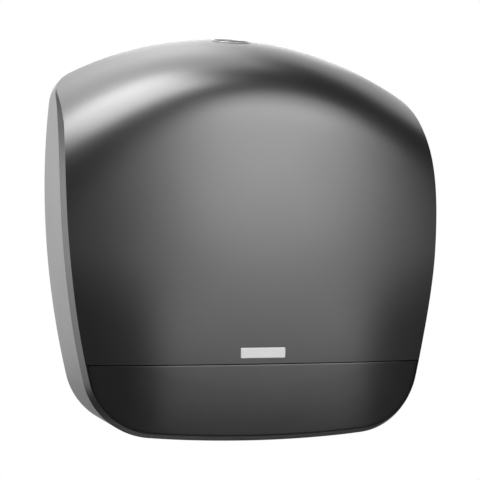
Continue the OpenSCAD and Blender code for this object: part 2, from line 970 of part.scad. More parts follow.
module lock_screws() {
    color(steel)
        lock_frame()
            for (side = [-1, 1])
                translate([side * (bezel_ear_x + 1.4), 0, bezel_under])
                    rotate([180, 0, 0])
                        pan_screw(screw_r - 0.15, 4.8, 2.8, 1.6);
}

barrel_head_r = 11.5;
barrel_head_t = 2.2;
cam_seat_r = 6;
cam_t = 2.2;
cam_top = sleeve_end - 0.4;
hook_in_r = 11.6;
hook_out_r = 13.4;
hook_drop = 4;

module lock_barrel() {
    color(steel)
        lock_frame()
            difference() {
                rotate_extrude()
                    polygon([
                        [0, cam_top - cam_t], [cam_seat_r, cam_top - cam_t],
                        [cam_seat_r, cam_top], [barrel_r, cam_top],
                        [barrel_r, recess_floor + 0.15],
                        [barrel_head_r, recess_floor + 0.15],
                        [barrel_head_r, recess_floor + barrel_head_t - 0.5],
                        [barrel_head_r - 0.5, recess_floor + barrel_head_t],
                        [0, recess_floor + barrel_head_t]
                    ]);
                // Key slot with two round ends
                for (side = [-1, 1])
                    translate([0, side * 4, recess_floor - 3])
                        cylinder(r = 1.6, h = 10, $fn = 32);
                block([-0.8, -4, recess_floor - 3], [0.8, 4, recess_floor + 5]);
                translate([0, 0, cam_top - cam_t - 1])
                    cylinder(r = 1.4, h = 5, $fn = 32);
            }
}

module lock_cam() {
    cam_low = cam_top - cam_t;
    hook_half_a = 14;
    color(steel)
        lock_frame()
            difference() {
                union() {
                    translate([0, 0, cam_low])
                        cylinder(r = cam_seat_r + 3, h = cam_t);
                    block([-3.2, 0, cam_low], [3.2, hook_out_r - 0.4, cam_top]);
                    translate([0, 0, cam_low - hook_drop])
                        rotate([0, 0, 90 - hook_half_a])
                            rotate_extrude(angle = 2 * hook_half_a)
                                polygon([
                                    [hook_in_r, 0], [hook_out_r, 0],
                                    [hook_out_r, hook_drop + cam_t],
                                    [hook_in_r, hook_drop + cam_t]
                                ]);
                }
                translate([0, 0, cam_low - 1])
                    cylinder(r = cam_seat_r + 0.05, h = cam_t + 2);
            }
}

module cam_screw() {
    color(steel)
        lock_frame()
            translate([0, 0, cam_top - cam_t])
                rotate([180, 0, 0])
                    pan_screw(1.7, 3.2, 6.8, 1.8);
}

lip_in_r = 9.5;
lip_out_r = 11.2;
lip_half_a = 24;
strike_t = 1.8;
strike_half_w = 17;
strike_low_z = 147;

module latch_strike() {
    lip_high = cam_top - cam_t - 0.4;
    web_high = cam_top - cam_t - hook_drop - 0.3;
    color(steel)
        difference() {
            union() {
                intersection() {
                    lock_frame()
                        union() {
                            translate([0, 0, web_high - strike_t])
                                rotate([0, 0, 90 - lip_half_a])
                                    rotate_extrude(angle = 2 * lip_half_a)
                                        polygon([
                                            [lip_in_r, 0], [lip_out_r, 0],
                                            [lip_out_r, lip_high - web_high + strike_t],
                                            [lip_in_r, lip_high - web_high + strike_t]
                                        ]);
                            block([-4.6, lip_in_r + 0.4, web_high - strike_t],
                                [4.6, lip_in_r + 16, web_high]);
                        }
                    block([-half_w, -lock_d, 140], [half_w, -plate_t, roof_z]);
                }
                block([-strike_half_w, -plate_t - strike_t, strike_low_z],
                    [strike_half_w, -plate_t, lock_z - 14]);
            }
            for (side = [-1, 1])
                translate([side * strike_screw_x, 0, strike_screw_z])
                    rotate([90, 0, 0])
                        cylinder(r = screw_r + 0.15, h = 10, $fn = 32);
        }
}

module strike_screws() {
    color(steel)
        for (side = [-1, 1])
            translate([side * strike_screw_x, -plate_t - strike_t, strike_screw_z])
                rotate([90, 0, 0])
                    pan_screw(screw_r, 3.9, 3.2, 2.2);
}

back_plate();
roll_spindle();
spindle_screws();
brake_washer();
hub_retainer();
retainer_screw();
exit_guide();
exit_guide_screws();
tear_strip_left();
tear_strip_right();
tear_strip_screws();
hinge_pin_left();
hinge_pin_right();
latch_strike();
strike_screws();
front_cover();
view_window();
window_clips();
badge_plate();
hinge_arm_left();
hinge_arm_right();
hinge_arm_screws();
lock_bezel();
lock_screws();
lock_barrel();
lock_cam();
cam_screw();
roll_hub();
hub_flange();
hub_nose();
flange_screws();
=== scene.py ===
# %% [markdown]
# # A jumbo toilet roll dispenser
# A wall-mounted dispenser for one large roll: a satin cover swings down from a wall plate that
# carries a turning hub. The CAD frame holds every hidden piece at its real size. This lesson
# gives those pieces their finishes, and models the cover, its window and its small plate again
# as smooth surfaces worked out with numpy.

# %% Load the frame
import json
import math
import bpy
import numpy as np
from mathutils import Matrix, Vector


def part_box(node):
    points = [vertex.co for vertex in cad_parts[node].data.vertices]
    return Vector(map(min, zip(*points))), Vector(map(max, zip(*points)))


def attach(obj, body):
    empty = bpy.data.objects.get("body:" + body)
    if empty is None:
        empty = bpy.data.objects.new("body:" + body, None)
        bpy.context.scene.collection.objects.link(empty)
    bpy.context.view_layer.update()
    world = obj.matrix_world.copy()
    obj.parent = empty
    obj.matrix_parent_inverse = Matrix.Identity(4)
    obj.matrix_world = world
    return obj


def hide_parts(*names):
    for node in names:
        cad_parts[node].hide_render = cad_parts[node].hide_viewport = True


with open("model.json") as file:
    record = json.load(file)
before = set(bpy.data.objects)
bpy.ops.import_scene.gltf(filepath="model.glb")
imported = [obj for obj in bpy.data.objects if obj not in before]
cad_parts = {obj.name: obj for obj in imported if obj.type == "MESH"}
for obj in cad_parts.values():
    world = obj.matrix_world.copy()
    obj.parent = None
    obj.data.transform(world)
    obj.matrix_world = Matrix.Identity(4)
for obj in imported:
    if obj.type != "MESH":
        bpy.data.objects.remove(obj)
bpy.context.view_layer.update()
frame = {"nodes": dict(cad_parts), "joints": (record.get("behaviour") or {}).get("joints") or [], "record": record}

# %% [markdown]
# ## Driving dimensions
# The cover's outline is six arcs that meet smoothly: roof, shoulder, upper side, lower side,
# bottom corner and floor. Their radii are the driving dimensions, in metres. Width, roof height and
# lock position are read from the frame, so they always agree with the CAD; the height below the roof is given.

# %% Driving dimensions of the cover
MM = 0.001
cover_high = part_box("front_cover")[1]
half_w = cover_high.x
roof_z = cover_high.z
floor_z = roof_z - 376.4 * MM
waist_z = floor_z + 235 * MM
split_z = floor_z + 70 * MM
roof_r, shoulder_r, upper_r = 324 * MM, 37.5 * MM, 735 * MM
lower_r, corner_r, floor_r = 793 * MM, 64 * MM, 1120 * MM
face_d, crown, draft = 126 * MM, 18 * MM, 1.6 * MM
bevel_w, bevel_d = 4 * MM, 9 * MM
bow, bow_z = 4.5 * MM, floor_z + 147 * MM
bend_at, bend_z = 0.57, floor_z + 170 * MM
roll_over = (106 * MM, 179 * MM)
wall = 2.8 * MM
rear_gap, rear_land = 1 * MM, 3 * MM
print("half width", round(half_w, 4), "roof", round(roof_z, 4), "floor", round(floor_z, 4))


# %% [markdown]
# ## The outline as arcs
# Two tangent arcs share a point on the line through their centres. So each small arc's centre
# lies where two larger circles, shrunk by its radius, cross. An arc's angle is turned from +Z
# towards +X, and the left half repeats the right half with x turned round.

# %% Arc centres and angles
def meet(centre_a, r_a, centre_b, r_b):
    """Crossing of two circles: along the line of centres by (ra² - rb² + d²) / 2d, then square to it."""
    between = centre_b - centre_a
    gap = np.linalg.norm(between)
    u = between / gap
    along = (r_a**2 - r_b**2 + gap**2) / (2 * gap)
    square = math.sqrt(r_a**2 - along**2)
    return centre_a + along * u + square * np.array([u[1], -u[0]])


def heading(v):
    """Angle of a vector in XZ, turned from +Z towards +X."""
    return math.atan2(v[0], v[1])


roof_c = np.array([0, roof_z - roof_r])
upper_c = np.array([half_w - upper_r, waist_z])
lower_c = np.array([half_w - lower_r, waist_z])
floor_c = np.array([0, floor_z + floor_r])
shoulder_c = meet(roof_c, roof_r - shoulder_r, upper_c, upper_r - shoulder_r)
corner_c = meet(lower_c, lower_r - corner_r, floor_c, floor_r - corner_r)
arc_centres = [roof_c, shoulder_c, upper_c, lower_c, corner_c, floor_c]
arc_radii = [roof_r, shoulder_r, upper_r, lower_r, corner_r, floor_r]
arc_turns = [
    0, heading(shoulder_c - roof_c), heading(shoulder_c - upper_c), math.pi / 2,
    heading(corner_c - lower_c), heading(corner_c - floor_c), math.pi,
]
print("arc turns in degrees:", [round(math.degrees(a), 1) for a in arc_turns])


# %% Stations round the outline
window_inset = draft + bevel_w + 1.5 * MM
seam_gap = 0.4 * MM
opening_inset = window_inset - seam_gap
mouth_half_w, pocket_half_w = 52.5 * MM, 100 * MM
split_turn = math.acos((split_z - waist_z) / (lower_r - opening_inset))


def lower_turn(x, centre, radius):
    """Angle on a lower arc at which its point has this x."""
    return math.pi - math.asin((x - centre[0]) / radius)


# The hinge pocket is a little wider than the floor arc, so it ends on the corner arc
pocket_turn = lower_turn(pocket_half_w, corner_c, corner_r)
mouth_turn = lower_turn(mouth_half_w, floor_c, floor_r)

# Each stretch is (arc, first angle, last angle, number of steps)
stretches = [
    (0, arc_turns[0], arc_turns[1], 46),
    (1, arc_turns[1], arc_turns[2], 26),
    (2, arc_turns[2], arc_turns[3], 26),
    (3, arc_turns[3], split_turn, 44),
    (3, split_turn, arc_turns[4], 6),
    (4, arc_turns[4], pocket_turn, 34),
    (4, pocket_turn, arc_turns[5], 3),
    (5, arc_turns[5], mouth_turn, 13),
    (5, mouth_turn, math.pi, 12),
]
right_arc = np.concatenate([np.full(n, arc) for arc, _, _, n in stretches])
right_turn = np.concatenate([a + (b - a) * np.arange(n) / n for _, a, b, n in stretches])
split_station = sum(n for _, _, _, n in stretches[:4])
rights = len(right_turn)
arc = np.concatenate([right_arc, [5], right_arc[:0:-1]])
turn = np.concatenate([right_turn, [math.pi], right_turn[:0:-1]])
side = np.concatenate([np.ones(rights + 1), -np.ones(rights - 1)])
around = len(arc)
centre_of = np.array(arc_centres)[arc]
radius_of = np.array(arc_radii)[arc]
pocket_degrees = round(math.degrees(pocket_turn), 1)
print("stations round the outline:", around, "pocket ends at", pocket_degrees, "degrees")
assert arc_turns[4] < pocket_turn < arc_turns[5]


def rim(inset):
    """Outline points (x, z) moved inwards: arc centre + (radius - inset) * (sin, cos) of the angle."""
    reach = radius_of - inset
    x = centre_of[:, 0] + reach * np.sin(turn)
    return np.stack([side * x, centre_of[:, 1] + reach * np.cos(turn)], -1)


# %% [markdown]
# ## The face as a formula
# Below the roof the depth rises from a narrow land at the wall to the full depth, like a
# super-ellipse. The full depth is greatest in the middle and bows back slowly above and below.
# In the upper part a level section is a plain curve. In the lower part its middle is flatter and
# it bends back near the sides, which gives the face its dark lower corners.

# %% Depth of the face
roll_over_power = (3.7, 4.8)
roll_over_root = (1.08, 1.12)
bend_slope = 3.2
bend_soft = (0.275, 0.215)
bevel_start, bevel_run = 11 * MM, 34 * MM
bevel_least = 1 * MM


def across(x):
    """Square of the distance from the middle as a share of the half width."""
    return (x / half_w) ** 2


def blend(pair, x):
    """First value in the middle, second at the sides."""
    return pair[0] + (pair[1] - pair[0]) * across(x)


def roof_line(x):
    """Height of the roof arc at x."""
    return roof_c[1] + np.sqrt(roof_r**2 - x**2)


def soft(v, width):
    """Ramp with a rounded foot: (v + sqrt(v² + width²)) / 2."""
    return (v + np.sqrt(v**2 + width**2)) / 2


def side_fall(x, z):
    """Share of the crown lost at x: its square above, and a soft bend near the sides below."""
    t = np.clip((bend_z - z) / (bend_z - split_z), 0, 1)
    part = t**2 * (3 - 2 * t)
    width = bend_soft[0] + (bend_soft[1] - bend_soft[0]) * part
    bend = bend_slope * (soft(np.abs(x) / half_w - bend_at, width) - soft(-bend_at, width))
    return (1 - part) * across(x) + part * bend


def full_depth(x, z):
    """Depth of the upright face: the crown is lost towards the sides, and the bow above and below."""
    return face_d + crown * (1 - side_fall(x, z)) - bow * ((z - bow_z) / (100 * MM)) ** 2


def depth(x, z):
    """Land + (full depth - land) * swell, where the swell is a super-ellipse of the fall below the roof.

    The swell is (1 - (1 - t)^power)^(1 / root), and t is the fall as a share of the roll-over.
    """
    t = np.clip((roof_line(x) - z) / blend(roll_over, x), 0, 1)
    swell = (1 - (1 - t) ** blend(roll_over_power, x)) ** (1 / blend(roll_over_root, x))
    return rear_land + (full_depth(x, z) - rear_land) * swell


def bevel_share(x, z):
    """Share of the chamfer: none until a little below the roof line, all of it below its run."""
    return np.clip((roof_line(x) - z - bevel_start) / bevel_run, 0, 1) ** 0.9


# %% [markdown]
# ## From arrays to a mesh
# A surface is an array of rows by columns by (x, y, z). Its quads join neighbours in both
# directions, and a mask leaves out the quads where there is an opening. Vertices that no quad
# uses are dropped, so the finished mesh has no stray points.

# %% Mesh helpers
def grid_faces(rows, columns, closed):
    """Corner numbers of the quads of a grid, (rows - 1) by columns, going round if closed."""
    last = columns if closed else columns - 1
    r, c = np.meshgrid(np.arange(rows - 1), np.arange(last), indexing="ij")
    nxt = (c + 1) % columns
    return np.stack([r * columns + c, (r + 1) * columns + c, (r + 1) * columns + nxt, r * columns + nxt], -1)


def make_mesh(name, points, faces, sharp_degrees=40):
    """Object at the origin from points and lists of corner numbers, smooth but for sharp edges."""
    faces = [np.asarray(f).reshape(-1, np.shape(f)[-1]) for f in faces]
    used = np.unique(np.concatenate([f.ravel() for f in faces]))
    renumber = np.full(len(points), -1)
    renumber[used] = np.arange(len(used))
    mesh = bpy.data.meshes.new(name)
    polygons = [corners for f in faces for corners in renumber[f].tolist()]
    mesh.from_pydata(points[used].tolist(), [], polygons)
    mesh.validate()
    mesh.polygons.foreach_set("use_smooth", np.ones(len(mesh.polygons), bool))
    mesh.set_sharp_from_angle(angle=math.radians(sharp_degrees))
    thing = bpy.data.objects.new(name, mesh)
    bpy.context.scene.collection.objects.link(thing)
    return thing


def finish_modifiers(thing, sharp_degrees=40):
    """Puts the result of the object's modifiers into its mesh, and marks sharp edges again."""
    bpy.context.view_layer.update()
    evaluated = thing.evaluated_get(bpy.context.evaluated_depsgraph_get())
    mesh = bpy.data.meshes.new_from_object(evaluated)
    thing.modifiers.clear()
    thing.data = mesh
    mesh.polygons.foreach_set("use_smooth", np.ones(len(mesh.polygons), bool))
    mesh.set_sharp_from_angle(angle=math.radians(sharp_degrees))
    return thing


def corner_curve(before, corner, after, radius, steps):
    """Rounds a corner by a quadratic curve between two points, both at most radius away from it."""
    back, ahead = before - corner, after - corner
    back_len = np.linalg.norm(back, axis=-1, keepdims=True)
    ahead_len = np.linalg.norm(ahead, axis=-1, keepdims=True)
    start = corner + back / back_len * np.minimum(radius, 0.45 * back_len)
    end = corner + ahead / ahead_len * np.minimum(radius, 0.45 * ahead_len)
    return [
        (1 - t) ** 2 * start + 2 * t * (1 - t) * corner + t**2 * end
        for t in np.linspace(0, 1, steps)
    ]


# %% [markdown]
# ## The cover
# The real cover is one moulding: side walls, a small chamfer, and a face that rolls over into
# the roof. It could be a subdivided cage, but a cage pulls the chamfer out of line, so the
# surface is worked out along lines that run from the wall, over the chamfer, to one point on
# the seam above the window. That point lies on the seam so that the window's top edge is two
# of these lines, and the window's opening is simply a fan of quads left out.

# %% Side wall and chamfer of the cover
hinge = next(j for j in frame["joints"] if j["name"] == "cover_swing")
hinge_y, hinge_z = hinge["pos_m"][1], hinge["pos_m"][2]
swing_clear_r = -hinge_y - rear_gap - 0.3 * MM


def on_face(xz):
    """Face points over outline points: y is minus the depth."""
    return np.stack([xz[:, 0], -depth(xz[:, 0], xz[:, 1]), xz[:, 1]], -1)


flat_rim = rim(0)
drop = np.clip(hinge_z - flat_rim[:, 1], 0, swing_clear_r)
rear_y = np.where(drop > 0, hinge_y + np.sqrt(swing_clear_r**2 - drop**2), -rear_gap)
rear_y = np.minimum(rear_y, -rear_gap)
lean = draft * depth(flat_rim[:, 0], flat_rim[:, 1]) / (face_d - bevel_d)
crease_xz = rim(lean)
share = bevel_share(crease_xz[:, 0], crease_xz[:, 1])
crease = on_face(crease_xz)
crease[:, 1] = bevel_d * share - depth(crease_xz[:, 0], crease_xz[:, 1])
edge_share = bevel_share(flat_rim[:, 0], flat_rim[:, 1])
edge_xz = rim(lean + bevel_least + (bevel_w - bevel_least) * edge_share)
edge = on_face(edge_xz)
opening_xz = rim(np.maximum(opening_inset, lean + bevel_least + bevel_w))
face_centre = np.array([0, split_z])
print("chamfer runs from", np.round(crease[0], 4), "to", np.round(edge[0], 4))

# %% Rows of the side wall
# The cut for the hinge pocket ends at one depth and the cut for the paper mouth at another, so
# rows lie exactly there
pocket_y, mouth_y, least_run = -24 * MM, -116 * MM, 118 * MM
pocket_row, mouth_row, crease_row = 4, 20, 23
wall_run = np.maximum(-crease[:, 1] - rear_gap, least_run)
pocket_part, mouth_part = (-pocket_y - rear_gap) / wall_run, (-mouth_y - rear_gap) / wall_run
wall_rows = []
for first, last, steps in (
        (0, pocket_part, pocket_row), (pocket_part, mouth_part, mouth_row - pocket_row),
        (mouth_part, 1, crease_row - mouth_row)):
    for k in range(steps):
        part = np.broadcast_to(first + (last - first) * k / steps, around)[:, None]
        flat_start = np.stack([flat_rim[:, 0], np.full(around, -rear_gap), flat_rim[:, 1]], -1)
        row = flat_start + (crease - flat_start) * part
        row[:, 1] = np.minimum(row[:, 1], rear_y)
        wall_rows.append(row)
crease_r, edge_r, corner_steps = 0.9 * MM, 1.1 * MM, 4
crease_rows = corner_curve(wall_rows[-1], crease, edge, crease_r, corner_steps)

# %% Rows of the face
first_step = 0.02
first_inwards = on_face(edge_xz + (opening_xz - edge_xz) * first_step)
edge_rows = corner_curve(crease, edge, first_inwards, edge_r, corner_steps)
# Both powers crowd the rows towards the edge, where the face turns most
strip_steps, face_steps = 9, 46
strip_power, face_power = 1.4, 1.25
strip_parts = first_step + (1 - first_step) * (np.arange(strip_steps + 1) / strip_steps) ** strip_power
strip_rows = [on_face(edge_xz + (opening_xz - edge_xz) * part) for part in strip_parts]
face_rows = [
    on_face(opening_xz + (face_centre - opening_xz) * (k / face_steps) ** face_power)
    for k in range(1, face_steps)
]
cover_rows = np.array(wall_rows + crease_rows + edge_rows + strip_rows + face_rows)
opening_row = len(cover_rows) - len(face_rows) - 1
print("cover grid:", cover_rows.shape)

# %% Openings and the mesh of the cover
rows = len(cover_rows)
quads = grid_faces(rows, around, closed=True)
row_no = np.arange(rows - 1)[:, None]
column_no = np.arange(around)[None, :]
next_no = (column_no + 1) % around
in_window = (column_no >= split_station) & (column_no < around - split_station)
floor_side = (arc[column_no] >= 4) & (arc[next_no] >= 4)
widest = np.maximum(np.abs(flat_rim[column_no, 0]), np.abs(flat_rim[next_no, 0]))
hair = 0.01 * MM
in_mouth = floor_side & (widest < mouth_half_w + hair) & (row_no < mouth_row)
in_pocket = floor_side & (widest < pocket_half_w + hair) & (row_no < pocket_row)
keep = ~((in_window & (row_no >= opening_row)) | in_mouth | in_pocket)
cover_points = np.concatenate([cover_rows.reshape(-1, 3), on_face(face_centre[None])])
tip = len(cover_points) - 1
last_row = (rows - 1) * around
fan = np.stack([last_row + next_no[0], last_row + column_no[0], np.full(around, tip)], -1)
cover = make_mesh("cover_shell", cover_points, [quads[keep], fan[~in_window[0]]])
print("cover quads:", int(keep.sum()))

# %% [markdown]
# ## Wall thickness, lock hole and recess
# The grid is only the outer skin. Solidify gives it the thickness of the moulding and closes
# every rim, and a round cutter along the lock's axis opens the hole in the roof. The lock's
# place and lean come from its joint in the frame. A thin block sinks the small plate's recess.

# %% Thickness and lock hole
def lathe(name, profile, steps=72, closed=True, sharp_degrees=40):
    """Turns a profile of (radius, height) round Z; a radius of zero at an end becomes a pole."""
    profile = np.array(profile, float)
    turns = -np.arange(steps) / steps * 2 * np.pi
    poles = [i for i in (0, len(profile) - 1) if profile[i, 0] == 0]
    rings = np.array([p for i, p in enumerate(profile) if i not in poles])
    points = np.stack([
        rings[:, :1] * np.cos(turns), rings[:, :1] * np.sin(turns),
        np.repeat(rings[:, 1:], steps, axis=1),
    ], -1).reshape(-1, 3)
    faces = [grid_faces(len(rings), steps, closed=True)]
    if closed and not poles:
        seam = np.arange(steps)
        nxt = (seam + 1) % steps
        top = (len(rings) - 1) * steps
        faces.append(np.stack([top + seam, seam, nxt, top + nxt], -1))
    for pole in poles:
        ring_start = 0 if pole == 0 else (len(rings) - 1) * steps
        seam = ring_start + np.arange(steps)
        nxt = ring_start + (np.arange(steps) + 1) % steps
        centre = np.full(steps, len(points))
        points = np.vstack([points, [0, 0, profile[pole, 1]]])
        faces.append(np.stack([seam, nxt, centre] if pole == 0 else [nxt, seam, centre], -1))
    return make_mesh(name, points, faces, sharp_degrees)


def block(name, low, high):
    """A closed box between two corners, for cutting."""
    points = np.array([
        (x, y, z) for x in (low[0], high[0]) for y in (low[1], high[1]) for z in (low[2], high[2])])
    sides = [(0, 1, 3, 2), (4, 6, 7, 5), (0, 4, 5, 1), (2, 3, 7, 6), (0, 2, 6, 4), (1, 5, 7, 3)]
    return make_mesh(name, points, [np.array(sides)])


def place(thing, matrix):
    """Moves the vertices, not the object, so that its origin stays at the frame's origin."""
    thing.data.transform(matrix)
    return thing


key = next(j for j in frame["joints"] if j["name"] == "key_turn")
lock_axis = Vector(key["axis"]).normalized()
lock_lean = lock_axis.to_track_quat("Z", "Y").to_matrix().to_4x4()
lock_matrix = Matrix.Translation(Vector(key["pos_m"])) @ lock_lean
lock_hole_r, cut_below, cut_above = 18.9 * MM, -14 * MM, 12 * MM

shell = cover.modifiers.new("wall", "SOLIDIFY")
shell.thickness = wall
shell.offset = -1
cutter = place(lathe("lock_cutter", [
    (0, cut_below), (lock_hole_r, cut_below), (lock_hole_r, cut_above), (0, cut_above)]), lock_matrix)
drill = cover.modifiers.new("lock_hole", "BOOLEAN")
drill.object = cutter
drill.operation = "DIFFERENCE"

# %% Recess for the small plate
badge_w, badge_h, badge_t, badge_sink = 40 * MM, 8.9 * MM, 1.2 * MM, 0.7 * MM
badge_above_seam, recess_play = 4.9 * MM, 0.2 * MM
badge_z = split_z + badge_above_seam + badge_h / 2
badge_slope = (full_depth(0, badge_z + MM) - full_depth(0, badge_z - MM)) / (2 * MM)
badge_lean = Matrix.Rotation(math.atan(badge_slope), 4, "X")
badge_matrix = Matrix.Translation((0, -full_depth(0, badge_z), badge_z)) @ badge_lean
recess_x, recess_z = badge_w / 2 + recess_play, badge_h / 2 + recess_play
recess = place(
    block("badge_cutter", (-recess_x, -MM, -recess_z), (recess_x, badge_sink, recess_z)), badge_matrix)
groove = cover.modifiers.new("badge_recess", "BOOLEAN")
groove.object = recess
groove.operation = "DIFFERENCE"
finish_modifiers(cover, sharp_degrees=32)
bpy.data.objects.remove(cutter)
bpy.data.objects.remove(recess)
print("cover triangles:", sum(len(p.vertices) - 2 for p in cover.data.polygons))

# %% [markdown]
# ## Strips, loops and plates
# The window's ledge, the window itself and the small plate are closed loops of points carried
# through a short profile. A loop here is an array of (x, z), and a profile step says how far
# the loop moves towards its middle and how far the row lies behind the face.

# %% The window's loop
def window_loop(inset, top_z, top_steps=40):
    """Outline below top_z, moved inwards, closed along a level line: points clockwise from the right end."""
    full = rim(inset)
    below = np.arange(split_station, around - split_station + 1)
    low = full[below]
    low[0] = side_end(inset, top_z)
    low[-1] = low[0] * np.array([-1, 1])
    across_top = np.linspace(low[-1, 0], low[0, 0], top_steps + 1)[1:-1]
    return np.concatenate([low, np.stack([across_top, np.full(top_steps - 1, top_z)], -1)])


def side_end(inset, top_z):
    """Point of the moved outline at a height on the lower side arc: x from the circle's equation."""
    reach = lower_r - inset
    return np.array([lower_c[0] + math.sqrt(reach**2 - (top_z - lower_c[1]) ** 2), top_z])


def behind_face(xz, back):
    """Points a distance behind the upright face."""
    return np.stack([xz[:, 0], back - full_depth(xz[:, 0], xz[:, 1]), xz[:, 1]], -1)


# %% Window ledge
rabbet, ledge_back = 2.7 * MM, 5.5 * MM
ledge_outer = window_loop(5 * MM, split_z + 3 * MM)
ledge_inner = window_loop(opening_inset + 4 * MM, split_z - 12 * MM)
ledge_rows = np.array([
    behind_face(ledge_outer, rabbet), behind_face(ledge_inner, rabbet),
    behind_face(ledge_inner, ledge_back), behind_face(ledge_outer, ledge_back),
])
ledge_loop = len(ledge_outer)
ledge_quads = grid_faces(4, ledge_loop, closed=True)
loop_no = np.arange(ledge_loop)
loop_next = (loop_no + 1) % ledge_loop
joint_quads = np.stack([3 * ledge_loop + loop_no, loop_no, loop_next, 3 * ledge_loop + loop_next], -1)
ledge = make_mesh("window_ledge", ledge_rows.reshape(-1, 3), [ledge_quads, joint_quads])
print("ledge points:", ledge_rows.shape)


# %% Window panel
def plate_from_loop(name, loop, centre, thick, edge_r, surface, inner_steps=14, sharp_degrees=40):
    """A plate with a rounded front edge: rows go up the rim, over the rounding and in to the centre."""
    centre = np.array(centre)
    towards = centre - loop
    length = np.linalg.norm(towards, axis=1, keepdims=True)
    rows = []
    for angle in np.linspace(0, math.pi / 2, 5):
        inwards = loop + towards / length * edge_r * (1 - math.cos(angle))
        rows.append(surface(inwards, edge_r * (1 - math.sin(angle))))
    inner = loop + towards / length * edge_r
    for k in range(1, inner_steps):
        rows.append(surface(inner + (centre - inner) * (k / inner_steps) ** 1.3, 0))
    back_rows = [surface(loop + towards * (1 - k / inner_steps), thick) for k in range(1, inner_steps)]
    back_rows.append(surface(loop, thick))
    count = len(loop)
    front = np.array(rows)
    back = np.array(back_rows)
    points = np.concatenate([
        front.reshape(-1, 3), surface(centre[None], 0), back.reshape(-1, 3), surface(centre[None], thick)])
    front_tip = front.shape[0] * count
    back_start = front_tip + 1
    back_tip = len(points) - 1
    j = np.arange(count)
    n = (j + 1) % count
    last = (front.shape[0] - 1) * count
    rim_row = back_start + (back.shape[0] - 1) * count
    faces = [
        grid_faces(front.shape[0], count, closed=True),
        np.stack([last + n, last + j, np.full(count, front_tip)], -1),
        grid_faces(back.shape[0], count, closed=True) + back_start,
        np.stack([back_start + j, back_start + n, np.full(count, back_tip)], -1),
        np.stack([rim_row + j, j, n, rim_row + n], -1),
    ]
    return make_mesh(name, points, faces, sharp_degrees)


window_sink, window_t, window_edge_r = 0.25 * MM, 2.4 * MM, 0.5 * MM
# At the top the seam is twice as wide as at the sides, so it reads as a dark line
panel_loop = window_loop(window_inset, split_z - 2 * seam_gap)
panel_centre = (0, split_z - 32 * MM)
window = plate_from_loop(
    "window_panel", panel_loop, panel_centre, window_t, window_edge_r,
    lambda xz, back: behind_face(xz, window_sink + back))
print("window triangles:", sum(len(p.vertices) - 2 for p in window.data.polygons))

# %% [markdown]
# ## The small plate
# A thin pale plate sits in the cover above the window. It stays bare. It leans with the face
# there, its loop is a rounded rectangle, and its edge is broken by a small radius.

# %% Small plate
def rounded_loop(low, high, radius, steps=6):
    """Rounded rectangle: a quarter circle of points in each corner, clockwise from the upper right."""
    turns = np.linspace(0, math.pi / 2, steps + 1)
    corners = [(high[0], high[1], 0), (high[0], low[1], 1), (low[0], low[1], 2), (low[0], high[1], 3)]
    points = []
    for x, z, quarter in corners:
        inner_x = x - math.copysign(radius, x - low[0] - 1e-9)
        inner_z = z - math.copysign(radius, z - low[1] - 1e-9)
        centre = np.array([inner_x, inner_z])
        angles = turns + quarter * math.pi / 2
        points.append(centre + radius * np.stack([np.sin(angles), np.cos(angles)], -1))
    return np.concatenate(points)


badge_corner_r, badge_edge_r = 0.8 * MM, 0.25 * MM
badge_loop = rounded_loop((-badge_w / 2, -badge_h / 2), (badge_w / 2, badge_h / 2), badge_corner_r)
badge = place(plate_from_loop(
    "name_plate", badge_loop, (0, 0), badge_t, badge_edge_r,
    lambda xz, back: np.stack([xz[:, 0], np.full(len(xz), badge_sink - badge_t) + back, xz[:, 1]], -1),
    inner_steps=6), badge_matrix)
print("plate leans", round(math.degrees(math.atan(badge_slope)), 2), "degrees")

# %% Window posts and screw bosses
post_z = split_z - 6.5 * MM
rearwards = Matrix.Rotation(-math.pi / 2, 4, "X")
posts = []
for number, x in enumerate((-88 * MM, 0, 88 * MM)):
    post = lathe(f"window_post_{number + 1}", [
        (0, 0), (2.2 * MM, 0), (2.2 * MM, 5.2 * MM), (1.8 * MM, 5.8 * MM), (0, 5.8 * MM)], steps=32)
    base = (x, float(window_t - full_depth(x, post_z)), post_z)
    posts.append(place(post, Matrix.Translation(base) @ rearwards))
boss_x, boss_ys, boss_h = 83 * MM, (-36 * MM, -54 * MM), 2.9 * MM
boss_base = floor_z + 9 * MM - boss_h
bosses = []
for side_name, x in (("left", -boss_x), ("right", boss_x)):
    for end_name, y in zip(("rear", "front"), boss_ys):
        boss = lathe(f"arm_boss_{side_name}_{end_name}", [
            (0, 0), (5 * MM, 0), (5 * MM, boss_h), (1.5 * MM, boss_h), (1.5 * MM, MM), (0, MM)], steps=40)
        bosses.append(place(boss, Matrix.Translation((x, y, boss_base))))
print("posts and bosses:", len(posts) + len(bosses))

# %% [markdown]
# ## Finishes as expressions
# A material's nodes are easier to read as sums. A Wire is one output of a node, and its
# operators add Math nodes. A Finish is a material whose one method adds any other node. Only
# what changes over the surface is linked, and what is the same everywhere is set on the shader.

# %% Wire and Finish
class Wire:
    """One number, vector or colour on its way through a finish; arithmetic on it adds Math nodes."""

    def __init__(self, finish, socket):
        self.finish, self.socket = finish, socket

    def _math(self, operation, first, second):
        return self.finish.add("Math", {"operation": operation}, {0: first, 1: second})

    def __add__(self, other):
        return self._math("ADD", self, other)

    def __radd__(self, other):
        return self._math("ADD", other, self)

    def __sub__(self, other):
        return self._math("SUBTRACT", self, other)

    def __rsub__(self, other):
        return self._math("SUBTRACT", other, self)

    def __mul__(self, other):
        return self._math("MULTIPLY", self, other)

    def __rmul__(self, other):
        return self._math("MULTIPLY", other, self)


